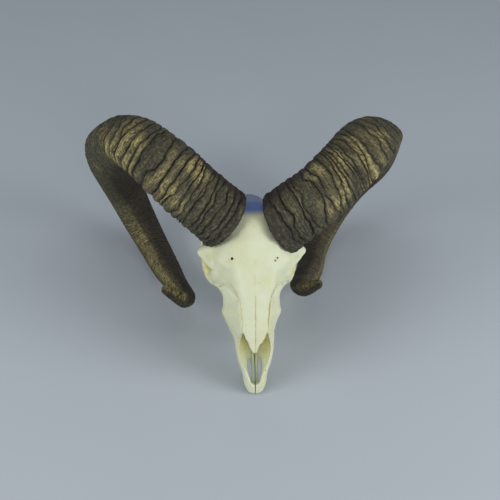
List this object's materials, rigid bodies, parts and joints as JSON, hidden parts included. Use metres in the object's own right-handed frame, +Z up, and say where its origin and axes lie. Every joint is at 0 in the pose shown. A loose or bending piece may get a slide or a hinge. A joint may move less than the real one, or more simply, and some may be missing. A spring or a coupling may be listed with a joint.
{
  "type": "ram skull with horns",
  "caption": "Life-size ram skull without its lower jaw, bleached bone, with thick ridged horns that curl out, back, down and forward.",
  "frame": {"origin": "bottom centre of the bounding box of the skull as it lies on the floor", "axes": "+X is the right-hand horn as seen from the nose end, -Y the way the nose points, +Z up. The skull lies on the tip of its nose and the backs of both horns, its face sloping up and back."},
  "size_m": [0.3932, 0.3158, 0.2358],
  "materials": {
    "bone": "dry bleached bone, ivory to pale yellow-green",
    "muzzle_bone": "dry bleached bone with the cheek teeth",
    "horn": "dark olive-brown keratin with tan ridges and near-black grooves"
  },
  "bodies": {
    "root": {"cranium": "bone", "cheek_left": "bone", "cheek_right": "bone", "nasal_left": "bone", "nasal_right": "bone", "maxilla_left": "muzzle_bone", "maxilla_right": "muzzle_bone", "premaxilla_left": "muzzle_bone", "premaxilla_right": "muzzle_bone", "horn_left_base": "horn", "horn_left_bend": "horn", "horn_left_fall": "horn", "horn_left_tip": "horn", "horn_right_base": "horn", "horn_right_bend": "horn", "horn_right_fall": "horn", "horn_right_tip": "horn"}
  },
  "joints": []
}
